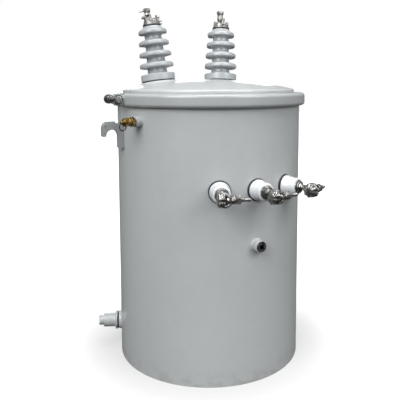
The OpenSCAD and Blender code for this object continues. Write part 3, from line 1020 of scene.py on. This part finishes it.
def drain_plug():
    """A plug with a ring of six notches cut into its end."""
    plug = turned([
        (0, DRAIN_END - 1), (11.8, DRAIN_END - 1), (11.8, DRAIN_END + 3), (12, DRAIN_END + 4),
        (12, PLUG_END, 1), (7.5, PLUG_END, 0.8), (7.5, PLUG_END - 4), (0, PLUG_END - 4),
    ], 72)
    for vert in plug.verts:
        if vert.co.z > NOTCH_FROM and vert.co.xy.length > 7.4:
            around = math.cos(6 * math.atan2(vert.co.y, vert.co.x))
            notch = min(max((around - 0.35) * 4, 0), 1)
            vert.co.z -= 3.2 * notch * min((vert.co.z - NOTCH_FROM) / 6, 1)
    return plug


at_drain = outwards(DRAIN_BEARING, DRAIN_Z)
piece("drain_wall_boss", moved(drain_boss(), at_drain), PAINT, ["drain_boss"])
drain_seal = rod(DRAIN_SEAL_D, DRAIN_BOSS - 0.6, DRAIN_SEAT + 0.1, 0.8, 72)
piece("drain_seal", moved(drain_seal, at_drain), RUBBER, ["drain_gasket"])
piece("drain_flanged_fitting", moved(drain_fitting(), at_drain), PAINT,
      ["drain_fitting"])
piece("drain_end_plug", moved(drain_plug(), at_drain), PAINT, ["drain_plug"])


# ---- Floor, lights and camera ----
# A pale seamless floor in an even white surround. Wide soft lights stand above, to
# the left and to the right in front, and a weak low one stands behind.

VIEW_BEARING = 28.3
VIEW_AWAY = 1.4079
VIEW_HEIGHT = 0.6831
VIEW_PITCH = 0.1025
VIEW_ROLL = 0.0024
LENS = 49.615
SENSOR_WIDTH = 36
SHIFT_X = -0.021
SHIFT_Y = -0.15


def pale_floor():
    """White paper that glows, with a painted shadow: it glows less under the object than further
    out.
    """
    sheet = bmesh.new()
    bmesh.ops.create_grid(sheet, x_segments=4, y_segments=4, size=9)
    mesh = bpy.data.meshes.new("floor")
    sheet.to_mesh(mesh)
    sheet.free()
    paper = Finish("floor_paper")
    fibre = paper.grain(2, detail=2)
    away = paper.node("ShaderNodeVectorMath", {"operation": "LENGTH"}, {0: paper.place}, "Value")
    # Painted shadow: the floor's glow is dimmer near the object and full further out.
    glow_and_painted_shadow = 0.5 + paper.ease(away, 0.23, 0.52) * 0.6
    paper.shade(
        Base_Color=paper.mixed(fibre, rgb(0.27, 0.27, 0.27), rgb(0.28, 0.28, 0.28)),
        Roughness=0.9,
        Emission_Color=paper.node("ShaderNodeCombineColor", {}, {0: glow_and_painted_shadow, 1: glow_and_painted_shadow, 2: glow_and_painted_shadow}),
        Emission_Strength=1.0,
        Specular_IOR_Level=0.0,
    )
    mesh.materials.append(paper.material)
    floor = bpy.data.objects.new("floor", mesh)
    floor.visible_diffuse = False
    floor.visible_glossy = False
    bpy.context.scene.collection.objects.link(floor)


def soft_light(name, place, aim, width, depth, power):
    lamp = bpy.data.lights.new(name, "AREA")
    lamp.shape = "RECTANGLE"
    lamp.size = width
    lamp.size_y = depth
    lamp.energy = power
    light = bpy.data.objects.new(name, lamp)
    light.location = place
    light.rotation_euler = (Vector(aim) - Vector(place)).to_track_quat("-Z", "Y").to_euler()
    bpy.context.scene.collection.objects.link(light)


def surround(seen, above, below):
    """An even white backdrop whose light on the object fades from above to below."""
    world = bpy.data.worlds.new("surround")
    world.use_nodes = True
    tree = world.node_tree
    backdrop = tree.nodes["Background"]
    backdrop.inputs["Color"].default_value = rgb(1, 1, 1)
    place = tree.nodes.new("ShaderNodeTexCoord")
    parts = tree.nodes.new("ShaderNodeSeparateXYZ")
    felt = tree.nodes.new("ShaderNodeMapRange")
    rays = tree.nodes.new("ShaderNodeLightPath")
    chosen = tree.nodes.new("ShaderNodeMix")
    felt.inputs["From Min"].default_value = -0.6
    felt.inputs["From Max"].default_value = 0.9
    felt.inputs["To Min"].default_value = below
    felt.inputs["To Max"].default_value = above
    chosen.inputs["B"].default_value = seen
    tree.links.new(place.outputs["Generated"], parts.inputs["Vector"])
    tree.links.new(parts.outputs["Z"], felt.inputs["Value"])
    tree.links.new(rays.outputs["Is Camera Ray"], chosen.inputs["Factor"])
    tree.links.new(felt.outputs["Result"], chosen.inputs["A"])
    tree.links.new(chosen.outputs["Result"], backdrop.inputs["Strength"])
    bpy.context.scene.world = world


def main_camera():
    bearing = math.radians(VIEW_BEARING)
    towards = Vector((-math.sin(bearing), -math.cos(bearing), 0))
    sight = Vector((0, 0, -math.sin(VIEW_PITCH))) - towards * math.cos(VIEW_PITCH)
    lens = bpy.data.cameras.new("camera")
    lens.sensor_width = SENSOR_WIDTH
    lens.lens = LENS
    lens.shift_x = SHIFT_X
    lens.shift_y = SHIFT_Y
    camera = bpy.data.objects.new("camera", lens)
    camera.location = towards * VIEW_AWAY + Vector((0, 0, VIEW_HEIGHT))
    level = sight.to_track_quat("-Z", "Y").to_matrix().to_4x4()
    camera.rotation_euler = (level @ Matrix.Rotation(-VIEW_ROLL, 4, "Z")).to_euler()
    bpy.context.scene.collection.objects.link(camera)
    bpy.context.scene.camera = camera


pale_floor()
soft_light("overhead_softbox", (0.2, -0.7, 4.2), (0, 0, 0.4), 3.2, 2.6, 120)
soft_light("left_softbox", (-3.38, -1.95, 3.2), (0, 0, 0.35), 3.0, 3.0, 194)
soft_light("right_softbox", (1.36, -3.37, 2.6), (0, 0, 0.35), 2.4, 2.4, 86)
soft_light("back_softbox", (1.6, 3.6, 0.9), (0, 0, 0.35), 2.0, 1.2, 24)
surround(1.0, 0.42, 0.06)
main_camera()
bpy.context.scene.view_settings.view_transform = "Standard"
